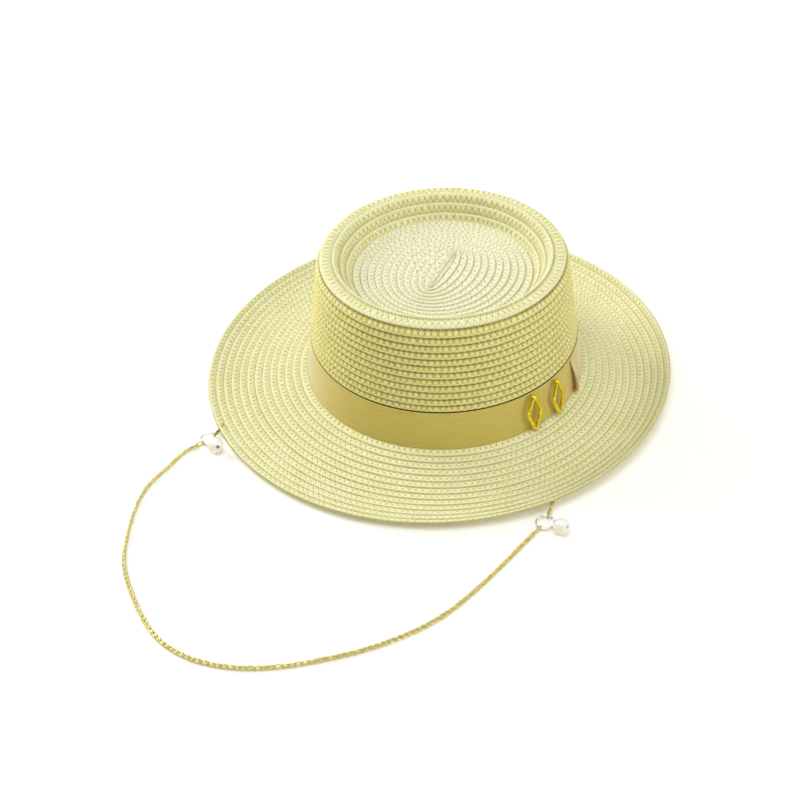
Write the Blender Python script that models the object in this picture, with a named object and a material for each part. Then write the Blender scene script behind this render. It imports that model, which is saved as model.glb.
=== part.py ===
"""Straw boater hat with a ribbon band and a chain chin strap, resting on a flat surface.

Metres, +Z up. The hat's front faces -Y and the wearer's left is +X. The origin is on the surface,
under the middle of the crown. A turn is an angle round the hat, from the front towards +X.
"""
from math import atan2, cos, degrees, hypot, pi, radians, sin, sqrt

import bmesh
import bpy
from mathutils import Matrix, Vector

MM = 0.001

# Gap kept between solids that touch
GAP = 0.3 * MM

# Crown
HEAD_HALF_WIDTH = 88.6 * MM
HEAD_HALF_LENGTH = 90.0 * MM
STRAW_WALL = 1.6 * MM
CROWN_HEIGHT = 86.4 * MM
RIM_HALF_WIDTH = 80.0 * MM
RIM_WIDTH = 13.2 * MM
RIM_OUTER_RADIUS = 6.0 * MM
RIM_INNER_RADIUS = 4.0 * MM
TIP_DEPTH = 14.4 * MM
TIP_WALL_TAPER = 6.2 * MM
TIP_FILLET_RADIUS = 3.0 * MM
TIP_DOME = 1.0 * MM

# Brim: the width of the braid from the crown to the edge, and how it dips and curls
BRIM_WIDTH = 65.0 * MM
BRIM_SIDES = {
    # side: (width as a share of BRIM_WIDTH, slope at the crown, slope at the edge, in degrees)
    "front": (0.985, -14.0, 14.0),
    "left": (0.945, -20.5, 40.5),
    "back": (1.018, -19.5, 39.0),
    "right": (1.058, -13.5, 13.5),
}
BRIM_STATIONS = 9

# Ribbon band and its lapped end
RIBBON_WIDTH = 26.0 * MM
RIBBON_THICKNESS = 0.8 * MM
JOIN_TURN = 88.5
JOIN_LENGTH = 24.0 * MM
JOIN_LIFT = 2.6 * MM
JOIN_LIFTED_SHARE = 0.35

# Ornaments on the band
ORNAMENT_TURNS = {"front": 60.5, "rear": 74.0}
ORNAMENT_HEIGHT = 29.0 * MM
ORNAMENT_WIDTH = 13.5 * MM
ORNAMENT_ROD = 2.7 * MM
ORNAMENT_CORNER = 3.2 * MM
ORNAMENT_STAND_OFF = 3.2 * MM
ORNAMENT_POST = 1.4 * MM

# Rings, links and pearls
RING_DIAMETER = 12.3 * MM
RING_WIRE = 1.0 * MM
LINK_WIRE = 0.9 * MM
END_LINK_LENGTH = 3.4 * MM
HOLE_INSET = 4.0 * MM
PEARL_DIAMETER = 10.0 * MM
PIN_WIRE = 0.7 * MM
PIN_HEAD_DIAMETER = 2.2 * MM
PIN_HEAD_THICKNESS = 0.5 * MM
STRAP_ENDS = {
    # side: (turn of the hole, turn where the stub crosses the edge, way from there to the ring,
    #        heading from the ring to its pearl, in degrees from +X)
    "right": (-45.4, -44.5, 4.0 * MM, -40.0),
    "left": (49.1, 47.65, 7.4 * MM, -15.0),
}

# Chain, and the route that it was laid in, from the wearer's right to the left
CHAIN_DIAMETER = 3.1 * MM
CHAIN_STATIONS = 62
CHAIN_ROUTE = [
    (-121.9 * MM, -139.0 * MM),
    (-124.8 * MM, -157.0 * MM),
    (-127.0 * MM, -171.0 * MM),
    (-126.6 * MM, -184.0 * MM),
    (-123.5 * MM, -198.0 * MM),
    (-118.0 * MM, -214.0 * MM),
    (-110.5 * MM, -231.0 * MM),
    (-103.0 * MM, -243.0 * MM),
    (-92.0 * MM, -255.5 * MM),
    (-75.0 * MM, -271.0 * MM),
    (-60.0 * MM, -281.5 * MM),
    (-44.0 * MM, -287.5 * MM),
    (-26.0 * MM, -289.0 * MM),
    (-5.0 * MM, -285.2 * MM),
    (17.0 * MM, -275.2 * MM),
    (42.6 * MM, -257.2 * MM),
    (60.7 * MM, -240.8 * MM),
    (76.0 * MM, -222.3 * MM),
    (86.5 * MM, -204.0 * MM),
    (94.5 * MM, -182.0 * MM),
    (101.2 * MM, -159.0 * MM),
    (106.0 * MM, -140.0 * MM),
]

# Faces round each shape
SEGMENTS = 64
RIM_ARC_STEPS = 4
RING_SEGMENTS = 24
EYE_SEGMENTS = 14
WIRE_SIDES = 6
POST_SIDES = 10
PEARL_SEGMENTS = 18
PEARL_RINGS = 10
JOIN_COLUMNS = 8
JOIN_ROWS = 6

# Sizes that follow
OVAL_RATIO = HEAD_HALF_LENGTH / HEAD_HALF_WIDTH
CROWN_FOOT_HALF_WIDTH = HEAD_HALF_WIDTH + STRAW_WALL
FOOT_LEVEL = STRAW_WALL / 2 + GAP
RIBBON_OUTSIDE = GAP + RIBBON_THICKNESS
BRIM_MARGIN = STRAW_WALL + RIBBON_OUTSIDE
SIDE_TAPER = (CROWN_FOOT_HALF_WIDTH - RIM_HALF_WIDTH) / (CROWN_HEIGHT - RIM_OUTER_RADIUS)
RING_RADIUS = (RING_DIAMETER - RING_WIRE) / 2
LINK_RADIUS = GAP + RING_WIRE / 2 + LINK_WIRE / 2
RING_LEVEL = LINK_WIRE / 2 + LINK_RADIUS
PIN_EYE_RADIUS = GAP + RING_WIRE / 2 + PIN_WIRE / 2
BRIM_CLEARANCE = STRAW_WALL / 2 + GAP + LINK_WIRE / 2
HOLE_RADIUS = LINK_WIRE / 2 + 2 * GAP


def remove_objects():
    for item in list(bpy.data.objects):
        bpy.data.objects.remove(item, do_unlink=True)


def make_material(name, colour, roughness, metallic):
    material = bpy.data.materials.new(name)
    material.use_nodes = True
    shader = material.node_tree.nodes["Principled BSDF"]
    shader.inputs["Base Color"].default_value = (*colour, 1.0)
    shader.inputs["Roughness"].default_value = roughness
    shader.inputs["Metallic"].default_value = metallic
    return material


def add_mesh(name, bm, material, sharp_angle=40.0):
    bmesh.ops.recalc_face_normals(bm, faces=bm.faces)
    mesh = bpy.data.meshes.new(name)
    bm.to_mesh(mesh)
    bm.free()
    mesh.shade_smooth()
    mesh.set_sharp_from_angle(angle=radians(sharp_angle))
    mesh.materials.append(material)
    item = bpy.data.objects.new(name, mesh)
    bpy.context.collection.objects.link(item)
    return item


def add_wire(name, points, diameter, material, closed, resolution):
    """A round wire or tube along a list of points."""
    curve = bpy.data.curves.new(name, "CURVE")
    curve.dimensions = "3D"
    curve.bevel_depth = diameter / 2
    curve.bevel_resolution = resolution
    curve.use_fill_caps = not closed
    curve.materials.append(material)
    spline = curve.splines.new("POLY")
    spline.points.add(len(points) - 1)
    for place, point in zip(spline.points, points):
        place.co = (*point, 1.0)
    spline.use_cyclic_u = closed
    spline.use_smooth = True
    item = bpy.data.objects.new(name, curve)
    bpy.context.collection.objects.link(item)
    return item


def make_solid_mesh(item):
    """Turns a wire into a mesh of the same shape, which can then be joined to others."""
    name = item.name
    bpy.context.view_layer.update()
    shape = item.evaluated_get(bpy.context.evaluated_depsgraph_get())
    bm = bmesh.new()
    bm.from_mesh(bpy.data.meshes.new_from_object(shape))
    bmesh.ops.remove_doubles(bm, verts=bm.verts, dist=0.01 * MM)
    material = item.data.materials[0]
    bpy.data.objects.remove(item, do_unlink=True)
    return add_mesh(name, bm, material)


def add_boolean(item, other, operation):
    other.hide_render = True
    other.display_type = "WIRE"
    modifier = item.modifiers.new(operation.title(), "BOOLEAN")
    modifier.operation = operation
    modifier.solver = "EXACT"
    modifier.object = other


def smooth_curve(points, steps, closed):
    """Points on a smooth curve through the given points."""
    count = len(points)
    places = []
    for index in range(count if closed else count - 1):
        if closed:
            p0, p1, p2, p3 = (points[(index + k) % count] for k in (-1, 0, 1, 2))
        else:
            p0, p1, p2, p3 = (points[min(max(index + k, 0), count - 1)] for k in (-1, 0, 1, 2))
        for step in range(steps):
            t = step / steps
            bend = 2 * p1 + (p2 - p0) * t + (2 * p0 - 5 * p1 + 4 * p2 - p3) * t**2
            places.append((bend + (3 * p1 - p0 - 3 * p2 + p3) * t**3) / 2)
    if not closed:
        places.append(points[-1].copy())
    return places


def spread_evenly(points, count):
    """The same path as so many points, each as far from the next."""
    lengths = [0.0]
    for before, after in zip(points, points[1:]):
        lengths.append(lengths[-1] + (after - before).length)
    places = []
    index = 0
    for step in range(count):
        target = lengths[-1] * step / (count - 1)
        while index < len(points) - 2 and lengths[index + 1] < target:
            index += 1
        share = (target - lengths[index]) / (lengths[index + 1] - lengths[index])
        places.append(points[index].lerp(points[index + 1], share))
    return places


def spin_profile(profile, closed, segments=SEGMENTS):
    """Turns a profile of (radius, height) once round the Z axis."""
    bm = bmesh.new()
    verts = [bm.verts.new((radius, 0.0, height)) for radius, height in profile]
    pairs = list(zip(verts, verts[1:]))
    if closed:
        pairs.append((verts[-1], verts[0]))
    edges = [bm.edges.new(pair) for pair in pairs]
    bmesh.ops.spin(bm, geom=verts + edges, axis=(0, 0, 1), cent=(0, 0, 0),
                   angle=2 * pi, steps=segments, use_merge=True)
    bmesh.ops.remove_doubles(bm, verts=bm.verts, dist=0.01 * MM)
    return bm


def make_oval(bm, level):
    """Stretches a round shape front to back to the oval of a head, and lifts it."""
    bmesh.ops.scale(bm, verts=bm.verts, vec=(1.0, OVAL_RATIO, 1.0))
    bmesh.ops.translate(bm, verts=bm.verts, vec=(0.0, 0.0, level))
    return bm


def offset_profile(profile, distance):
    """The profile moved sideways, to the right of the way that it runs when the distance is above 0."""
    moved = []
    for index, (x, z) in enumerate(profile):
        ends = (profile[max(index - 1, 0)], (x, z), profile[min(index + 1, len(profile) - 1)])
        normals = []
        for (xa, za), (xb, zb) in zip(ends, ends[1:]):
            length = hypot(xb - xa, zb - za)
            if length > 0:
                normals.append(Vector(((zb - za) / length, (xa - xb) / length)))
        mean = sum(normals, Vector((0.0, 0.0))).normalized()
        reach = distance / mean.dot(normals[0])
        moved.append((x + mean.x * reach, z + mean.y * reach))
    return moved


def arc(centre, radius, start, end, steps):
    """Points on an arc from one angle to another, in degrees."""
    angles = [radians(start + (end - start) * step / steps) for step in range(steps + 1)]
    return [(centre[0] + radius * cos(angle), centre[1] + radius * sin(angle)) for angle in angles]


# Crown

def crown_outside():
    """The crown's outer line from its foot over the rim and down to the middle of the sunk tip."""
    lean = degrees(atan2(SIDE_TAPER, 1.0))
    outer_centre = (RIM_HALF_WIDTH - RIM_OUTER_RADIUS, CROWN_HEIGHT - RIM_OUTER_RADIUS)
    mouth = RIM_HALF_WIDTH - RIM_WIDTH
    inner_centre = (mouth + RIM_INNER_RADIUS, CROWN_HEIGHT - RIM_INNER_RADIUS)
    floor_level = CROWN_HEIGHT - TIP_DEPTH
    floor_edge = mouth - TIP_WALL_TAPER
    wall_lean = degrees(atan2(TIP_WALL_TAPER, TIP_DEPTH - RIM_INNER_RADIUS))
    fillet_centre = (floor_edge - TIP_FILLET_RADIUS, floor_level + TIP_FILLET_RADIUS)
    profile = [(CROWN_FOOT_HALF_WIDTH - SIDE_TAPER * FOOT_LEVEL, FOOT_LEVEL)]
    profile.append((CROWN_FOOT_HALF_WIDTH - SIDE_TAPER * CROWN_HEIGHT / 2, CROWN_HEIGHT / 2))
    profile += arc(outer_centre, RIM_OUTER_RADIUS, lean, 90.0, RIM_ARC_STEPS)
    profile += arc(inner_centre, RIM_INNER_RADIUS, 90.0, 180.0 - wall_lean, RIM_ARC_STEPS - 1)
    profile += arc(fillet_centre, TIP_FILLET_RADIUS, -wall_lean, -90.0, RIM_ARC_STEPS - 2)
    profile.append((floor_edge / 2, floor_level + TIP_DOME * 0.75))
    profile.append((0.0, floor_level + TIP_DOME))
    return profile


def crown_side_half_width(height):
    """Half the crown's outer width at a height above the brim."""
    return CROWN_FOOT_HALF_WIDTH - SIDE_TAPER * height


def build_crown(material, level):
    outside = crown_outside()
    inside = offset_profile(outside, -STRAW_WALL)
    inside[0] = (inside[0][0], FOOT_LEVEL)
    inside[-1] = (0.0, inside[-1][1])
    profile = list(reversed(outside)) + inside
    bm = make_oval(spin_profile(profile, closed=False), level)
    return add_mesh("crown", bm, material)


# Brim

def brim_value(turn, column):
    """A column of BRIM_SIDES at any turn, blended smoothly between the four sides."""
    front, left, back, right = (BRIM_SIDES[side][column] for side in ("front", "left", "back", "right"))
    mean = (front + left + back + right) / 4
    twice = (left + right - front - back) / 4
    along = (back - front) / 2
    across = (left - right) / 2
    return mean - along * cos(turn) + across * sin(turn) - twice * cos(2 * turn)


def brim_offset(turn, way):
    """How far out and up the middle of the brim's wall lies, and its slope, at a way from the crown."""
    width = BRIM_WIDTH * brim_value(turn, 0)
    start = radians(brim_value(turn, 1))
    change = radians(brim_value(turn, 2)) - start
    steps = 16
    out = 0.0
    up = 0.0
    for step in range(steps):
        slope = start + change * (way * (step + 0.5) / steps / width) ** 2
        out += cos(slope) * way / steps
        up += sin(slope) * way / steps
    return out, up, start + change * (way / width) ** 2


def brim_place(turn, way, side):
    """A point of the brim, side being its distance above the middle of the wall. Level 0 is the crown's foot."""
    half_width = HEAD_HALF_WIDTH + BRIM_MARGIN
    half_length = half_width * OVAL_RATIO
    outward = Vector((sin(turn) / half_width, -cos(turn) / half_length, 0.0)).normalized()
    foot = Vector((half_width * sin(turn), -half_length * cos(turn), 0.0))
    if way <= 0:
        return foot + outward * way + Vector((0.0, 0.0, side))
    out, up, slope = brim_offset(turn, way)
    return foot + outward * (out - sin(slope) * side) + Vector((0.0, 0.0, up + cos(slope) * side))


def brim_edge(turn):
    """The way from the crown to the brim's edge."""
    return BRIM_WIDTH * brim_value(turn, 0)


def brim_lowest():
    """The lowest level that the underside of the brim reaches."""
    levels = []
    for step in range(SEGMENTS):
        turn = 2 * pi * step / SEGMENTS
        for station in range(BRIM_STATIONS):
            way = brim_edge(turn) * station / (BRIM_STATIONS - 1)
            levels.append(brim_place(turn, way, -STRAW_WALL / 2).z)
    return min(levels)


def build_brim(material, level):
    """A flat closed ring of straw is spun first, then each of its points is bent to its place."""
    flat = HEAD_HALF_WIDTH + BRIM_MARGIN
    ways = [-1.0] + [station / (BRIM_STATIONS - 1) for station in range(BRIM_STATIONS)]
    top = [(flat + share * BRIM_WIDTH, STRAW_WALL / 2) for share in ways]
    under = [(flat + share * BRIM_WIDTH, -STRAW_WALL / 2) for share in reversed(ways)]
    bm = spin_profile(top + under, closed=True)
    for vert in bm.verts:
        turn = atan2(vert.co.x, -vert.co.y)
        share = (hypot(vert.co.x, vert.co.y) - flat) / BRIM_WIDTH
        way = -BRIM_MARGIN if share < -0.5 else max(share, 0.0) * brim_edge(turn)
        vert.co = brim_place(turn, way, vert.co.z) + Vector((0.0, 0.0, level))
    return add_mesh("brim", bm, material, sharp_angle=60.0)


# Ribbon band

def band_place(turn, height, out):
    """A point at a height on the ribbon, so far out from the ribbon's outer face, and the ways there."""
    half_width = crown_side_half_width(height) + RIBBON_OUTSIDE
    half_length = half_width * OVAL_RATIO
    outward = Vector((sin(turn) / half_width, -cos(turn) / half_length, 0.0)).normalized()
    face = (outward + Vector((0.0, 0.0, SIDE_TAPER))).normalized()
    foot = Vector((half_width * sin(turn), -half_length * cos(turn), height))
    return foot + face * out, face


def build_band(material, level):
    bottom = FOOT_LEVEL
    top = bottom + RIBBON_WIDTH
    profile = [
        (crown_side_half_width(bottom) + GAP, bottom),
        (crown_side_half_width(bottom) + RIBBON_OUTSIDE, bottom),
        (crown_side_half_width(top) + RIBBON_OUTSIDE, top),
        (crown_side_half_width(top) + GAP, top),
    ]
    bm = make_oval(spin_profile(profile, closed=True), level)
    return add_mesh("hat_band", bm, material)


def build_join(material, level):
    """The lapped end of the ribbon. Its front edge stands off the band between its two corners."""
    bm = bmesh.new()
    bmesh.ops.create_grid(bm, x_segments=JOIN_COLUMNS, y_segments=JOIN_ROWS, size=0.5)
    bmesh.ops.solidify(bm, geom=bm.faces[:], thickness=0.25)
    depth = max(vert.co.z for vert in bm.verts) - min(vert.co.z for vert in bm.verts)
    top = max(vert.co.z for vert in bm.verts)
    bottom = FOOT_LEVEL
    radius = CROWN_FOOT_HALF_WIDTH + RIBBON_OUTSIDE
    for vert in bm.verts:
        along = vert.co.x + 0.5
        across = vert.co.y + 0.5
        lift = JOIN_LIFT * max(0.0, 1.0 - along / JOIN_LIFTED_SHARE) ** 2 * sin(pi * across)
        out = GAP + lift + RIBBON_THICKNESS * (1.0 - (top - vert.co.z) / depth)
        turn = radians(JOIN_TURN) + JOIN_LENGTH * along / radius
        place = band_place(turn, bottom + RIBBON_WIDTH * across, out)[0]
        vert.co = place + Vector((0.0, 0.0, level))
    return add_mesh("band_join", bm, material)


# Ornaments

def lozenge_path():
    """The closed outline of an upright lozenge with small round corners."""
    half_width = (ORNAMENT_WIDTH - ORNAMENT_ROD) / 2
    half_height = (ORNAMENT_HEIGHT - ORNAMENT_ROD) / 2
    corners = [(half_width, 0.0), (0.0, half_height), (-half_width, 0.0), (0.0, -half_height)]
    points = []
    for index, corner in enumerate(corners):
        here = Vector((*corner, 0.0))
        before = Vector((*corners[index - 1], 0.0)) - here
        after = Vector((*corners[(index + 1) % 4], 0.0)) - here
        start = here + before.normalized() * ORNAMENT_CORNER
        end = here + after.normalized() * ORNAMENT_CORNER
        points += [start.lerp(here, t).lerp(here.lerp(end, t), t) for t in (0.0, 0.5, 1.0)]
    return points


def build_ornament(name, turn, material, level):
    height = FOOT_LEVEL + RIBBON_WIDTH / 2
    place, face = band_place(radians(turn), height, 0.0)
    sideways = Vector((cos(radians(turn)), sin(radians(turn)), 0.0))
    upward = face.cross(sideways)
    frame = Matrix((sideways, upward, face)).transposed().to_4x4()
    frame.translation = place + Vector((0.0, 0.0, level))
    path = [point + Vector((0.0, 0.0, ORNAMENT_STAND_OFF)) for point in lozenge_path()]
    item = make_solid_mesh(add_wire(name, path, ORNAMENT_ROD, material, closed=True, resolution=2))
    item.matrix_world = frame
    half_height = lozenge_path()[4].y
    for end in (1, -1):
        bm = bmesh.new()
        length = ORNAMENT_STAND_OFF - GAP
        shift = Matrix.Translation((0.0, end * half_height, GAP + length / 2))
        bmesh.ops.create_cone(bm, cap_ends=True, segments=POST_SIDES, radius1=ORNAMENT_POST / 2,
                              radius2=ORNAMENT_POST / 2, depth=length, matrix=shift)
        post = add_mesh(f"{name}_post_{'top' if end > 0 else 'bottom'}", bm, material)
        post.matrix_world = frame
        add_boolean(item, post, "UNION")
    return item


# Rings, links and pearls

def strap_end(side, level):
    """Where the hole, the brim's edge, the ring's wire and the ring's middle lie, on one side."""
    hole_turn, edge_turn, reach, heading = STRAP_ENDS[side]
    hole_turn = radians(hole_turn)
    edge_turn = radians(edge_turn)
    up = Vector((0.0, 0.0, level))
    way = brim_edge(hole_turn) - HOLE_INSET
    hole = brim_place(hole_turn, way, 0.0) + up
    edge = brim_place(edge_turn, brim_edge(edge_turn), 0.0) + up
    edge_face = brim_place(edge_turn, brim_edge(edge_turn), STRAW_WALL) + up
    steepness = (edge_face.z - edge.z) / STRAW_WALL
    along = Vector((edge.x - hole.x, edge.y - hole.y, 0.0)).normalized()
    wire = edge + along * reach
    wire.z = RING_LEVEL
    centre = wire + along * RING_RADIUS
    towards_pearl = Vector((cos(radians(heading)), sin(radians(heading)), 0.0))
    return {"hole": hole, "edge": edge, "steepness": steepness, "along": along,
            "wire": wire, "centre": centre, "towards_pearl": towards_pearl}


def cut_holes(brim, ends):
    for side, end in ends.items():
        bm = bmesh.new()
        bmesh.ops.create_cone(bm, cap_ends=True, segments=12, radius1=HOLE_RADIUS, radius2=HOLE_RADIUS,
                              depth=STRAW_WALL * 4)
        cutter = add_mesh(f"hole_{side}", bm, brim.data.materials[0])
        cutter.location = end["hole"]
        add_boolean(brim, cutter, "DIFFERENCE")


def build_stub(side, end, material):
    """One long link, through the hole, round the brim's edge and round the ring's wire."""
    hole = end["hole"]
    along = end["along"]
    over_edge = (end["edge"] - hole).dot(along)
    rise = (end["edge"].z - hole.z) / over_edge
    up = Vector((0.0, 0.0, 1.0))
    bend = BRIM_CLEARANCE
    legs = bend / end["steepness"]
    ring = (end["wire"] - hole).dot(along)
    level = end["wire"].z - hole.z
    path = [
        (0.0, 0.0),
        (0.3 * bend, 0.75 * bend),
        (bend, legs + rise * bend),
        (over_edge, legs + rise * over_edge),
        (over_edge + bend, (legs + rise * over_edge + level + LINK_RADIUS) / 2),
        (ring, level + LINK_RADIUS),
        (ring + 0.7 * LINK_RADIUS, level + 0.7 * LINK_RADIUS),
        (ring + LINK_RADIUS, level),
        (ring + 0.7 * LINK_RADIUS, level - 0.7 * LINK_RADIUS),
        (ring, level - LINK_RADIUS),
        (over_edge, rise * over_edge - legs),
        (bend, rise * bend - legs),
        (0.3 * bend, -0.75 * bend),
    ]
    points = smooth_curve([hole + along * x + up * z for x, z in path], steps=2, closed=True)
    lowest = LINK_WIRE / 2
    for point in points:
        point.z = max(point.z, lowest)
    return add_wire(f"stub_{side}", points, LINK_WIRE, material, closed=True, resolution=1)


def build_ring(side, end, material):
    bm = spin_profile(arc((RING_RADIUS, 0.0), RING_WIRE / 2, 0.0, 360.0, WIRE_SIDES)[:-1],
                      closed=True, segments=RING_SEGMENTS)
    item = add_mesh(f"ring_{side}", bm, material, sharp_angle=80.0)
    item.location = end["centre"]
    return item


def build_end_link(side, start, heading, material):
    """The link between the ring and the end of the chain: two half circles and two straights."""
    up = Vector((0.0, 0.0, 1.0))
    path = arc((0.0, 0.0), LINK_RADIUS, 90.0, 270.0, 8)
    path += arc((END_LINK_LENGTH, 0.0), LINK_RADIUS, -90.0, 90.0, 8)
    points = [start + heading * x + up * z for x, z in path]
    return add_wire(f"chain_end_{side}", points, LINK_WIRE, material, closed=True, resolution=1)


def build_pearl(side, end, pearl_material, pin_material):
    """A drilled pearl on a headed pin, whose eye hooks round the ring's wire."""
    eye = end["centre"] + end["towards_pearl"] * RING_RADIUS
    radius = PEARL_DIAMETER / 2
    distance = PIN_EYE_RADIUS + PIN_WIRE / 2 + GAP + radius
    rise = radius - RING_LEVEL
    reach = sqrt(distance**2 - rise**2)
    centre = eye + end["towards_pearl"] * reach
    centre.z = radius
    axis = (centre - eye).normalized()
    turned = axis.to_track_quat("Z", "Y").to_matrix().to_4x4()

    bm = bmesh.new()
    bmesh.ops.create_uvsphere(bm, u_segments=PEARL_SEGMENTS, v_segments=PEARL_RINGS, radius=radius)
    pearl = add_mesh(f"pearl_{side}", bm, pearl_material, sharp_angle=80.0)
    pearl.matrix_world = Matrix.Translation(centre) @ turned
    bm = bmesh.new()
    bore = PIN_WIRE / 2 + GAP
    bmesh.ops.create_cone(bm, cap_ends=True, segments=10, radius1=bore, radius2=bore,
                          depth=PEARL_DIAMETER * 1.2)
    drill = add_mesh(f"pearl_bore_{side}", bm, pearl_material)
    drill.matrix_world = pearl.matrix_world
    add_boolean(pearl, drill, "DIFFERENCE")

    shank_start = PIN_EYE_RADIUS
    shank_end = distance + radius + GAP + PIN_HEAD_THICKNESS / 2
    bm = bmesh.new()
    shift = Matrix.Translation((0.0, 0.0, (shank_start + shank_end) / 2))
    bmesh.ops.create_cone(bm, cap_ends=True, segments=WIRE_SIDES, radius1=PIN_WIRE / 2,
                          radius2=PIN_WIRE / 2, depth=shank_end - shank_start, matrix=shift)
    pin = add_mesh(f"pearl_pin_{side}", bm, pin_material)
    pin.matrix_world = Matrix.Translation(eye) @ turned
    bm = spin_profile(arc((PIN_EYE_RADIUS, 0.0), PIN_WIRE / 2, 0.0, 360.0, WIRE_SIDES)[:-1],
                      closed=True, segments=EYE_SEGMENTS)
    sideways = end["towards_pearl"].cross(Vector((0.0, 0.0, 1.0)))
    loop = add_mesh(f"pearl_eye_{side}", bm, pin_material)
    loop.matrix_world = Matrix.Translation(eye) @ sideways.to_track_quat("Z", "Y").to_matrix().to_4x4()
    add_boolean(pin, loop, "UNION")
    bm = bmesh.new()
    shift = Matrix.Translation((0.0, 0.0, distance + radius + GAP + PIN_HEAD_THICKNESS / 2))
    bmesh.ops.create_cone(bm, cap_ends=True, segments=12, radius1=PIN_HEAD_DIAMETER / 2,
                          radius2=PIN_HEAD_DIAMETER / 2, depth=PIN_HEAD_THICKNESS, matrix=shift)
    head = add_mesh(f"pearl_head_{side}", bm, pin_material)
    head.matrix_world = pin.matrix_world
    add_boolean(pin, head, "UNION")


# Chain

def chain_start(end, point):
    """The ring's wire where the chain leaves it, the way that it leaves, and where the chain begins."""
    heading = Vector((point.x - end["centre"].x, point.y - end["centre"].y, 0.0)).normalized()
    wire = end["centre"] + heading * RING_RADIUS
    begin = wire + heading * (END_LINK_LENGTH + LINK_RADIUS + LINK_WIRE / 2 + GAP)
    begin.z = CHAIN_DIAMETER / 2
    return wire, heading, begin


def build_chain(ends, material):
    route = [Vector((x, y, CHAIN_DIAMETER / 2)) for x, y in CHAIN_ROUTE]
    for side, point in (("right", route[0]), ("left", route[-1])):
        wire, heading, begin = chain_start(ends[side], point)
        build_end_link(side, wire, heading, material)
        if side == "right":
            route.insert(0, begin)
        else:
            route.append(begin)
    points = spread_evenly(smooth_curve(route, steps=12, closed=False), CHAIN_STATIONS)
    return add_wire("chain", points, CHAIN_DIAMETER, material, closed=False, resolution=2)


def main():
    remove_objects()
    straw = make_material("straw", (0.80, 0.76, 0.50), 0.75, 0.0)
    ribbon = make_material("ribbon", (0.62, 0.54, 0.30), 0.45, 0.0)
    gold = make_material("gold", (0.86, 0.72, 0.22), 0.25, 1.0)
    silver = make_material("silver", (0.80, 0.81, 0.82), 0.20, 1.0)
    pearl = make_material("pearl", (0.92, 0.92, 0.90), 0.18, 0.0)

    level = -brim_lowest()
    ends = {side: strap_end(side, level) for side in STRAP_ENDS}
    build_crown(straw, level)
    brim = build_brim(straw, level)
    cut_holes(brim, ends)
    build_band(ribbon, level)
    build_join(ribbon, level)
    for name, turn in ORNAMENT_TURNS.items():
        build_ornament(f"ornament_{name}", turn, gold, level)
    for side, end in ends.items():
        build_stub(side, end, gold)
        build_ring(side, end, silver)
        build_pearl(side, end, pearl, gold)
    build_chain(ends, gold)
    bpy.context.view_layer.update()


main()
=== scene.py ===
"""Straw boater hat with a ribbon band and a chain chin strap, resting on a pale surface."""
from math import asin, atan2, copysign, cos, degrees, floor, hypot, pi, radians, sin

import bmesh
import bpy
from mathutils import Matrix, Vector


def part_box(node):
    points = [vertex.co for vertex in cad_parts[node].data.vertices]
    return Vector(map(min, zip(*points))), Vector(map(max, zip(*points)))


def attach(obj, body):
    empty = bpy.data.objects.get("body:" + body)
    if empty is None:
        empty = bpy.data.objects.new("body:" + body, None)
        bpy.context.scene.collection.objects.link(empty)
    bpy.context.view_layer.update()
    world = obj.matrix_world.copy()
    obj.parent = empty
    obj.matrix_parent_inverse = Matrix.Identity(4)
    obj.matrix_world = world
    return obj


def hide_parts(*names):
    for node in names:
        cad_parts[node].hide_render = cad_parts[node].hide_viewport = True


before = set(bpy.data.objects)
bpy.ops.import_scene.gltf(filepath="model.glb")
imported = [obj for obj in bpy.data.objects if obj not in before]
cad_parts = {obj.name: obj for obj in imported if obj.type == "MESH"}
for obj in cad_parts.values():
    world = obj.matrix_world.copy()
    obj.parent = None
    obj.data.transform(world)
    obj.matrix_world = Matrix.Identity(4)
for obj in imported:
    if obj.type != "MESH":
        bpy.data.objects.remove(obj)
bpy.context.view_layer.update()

MM = 0.001
MERGE_DISTANCE = 0.002 * MM


# Straw crown, side
# A flat plait of paper straw, sewn in one long spiral. Each row is laid under the one above and
# stitched to it, so its upper edge is hidden and its lower edge stands proud.

HEAD_HALF_WIDTH = 88.6 * MM
HEAD_HALF_LENGTH = 90.0 * MM
OVAL_RATIO = HEAD_HALF_LENGTH / HEAD_HALF_WIDTH
STRAW_WALL = 1.6 * MM
CROWN_HEIGHT = 86.4 * MM
RIM_HALF_WIDTH = 80.0 * MM
RIM_WIDTH = 13.2 * MM
RIM_OUTER_RADIUS = 6.0 * MM
RIM_INNER_RADIUS = 4.0 * MM
TIP_DEPTH = 14.4 * MM
TIP_WALL_TAPER = 6.2 * MM
TIP_FILLET_RADIUS = 3.0 * MM
TIP_DOME = 1.0 * MM
TIP_STEPS = 12
FILLET_STEPS = 8
RIM_INNER_STEPS = 10
RIM_OUTER_STEPS = 12
GAP = 0.3 * MM
CROWN_FOOT_HALF_WIDTH = HEAD_HALF_WIDTH + STRAW_WALL
FOOT_LEVEL = STRAW_WALL / 2 + GAP
SIDE_TAPER = (CROWN_FOOT_HALF_WIDTH - RIM_HALF_WIDTH) / (CROWN_HEIGHT - RIM_OUTER_RADIUS)
JUNCTION_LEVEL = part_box("crown")[0].z - FOOT_LEVEL

PLAIT_CELL = 3.8 * MM
ROW_LIFT = 1.15 * MM
PLAIT_LIFT = 0.55 * MM
SCALLOP = 0.35 * MM
# The share of a row's lift at which it lies on the wall's own surface
ROW_MIDDLE = 0.6
FEWEST_CELLS = 6
SIDE_COLUMNS = 710


def arc(centre, radius, start, end, steps):
    """Points on an arc from one angle to another, in degrees."""
    angles = [radians(start + (end - start) * step / steps) for step in range(steps + 1)]
    return [(centre[0] + radius * cos(angle), centre[1] + radius * sin(angle)) for angle in angles]


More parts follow.
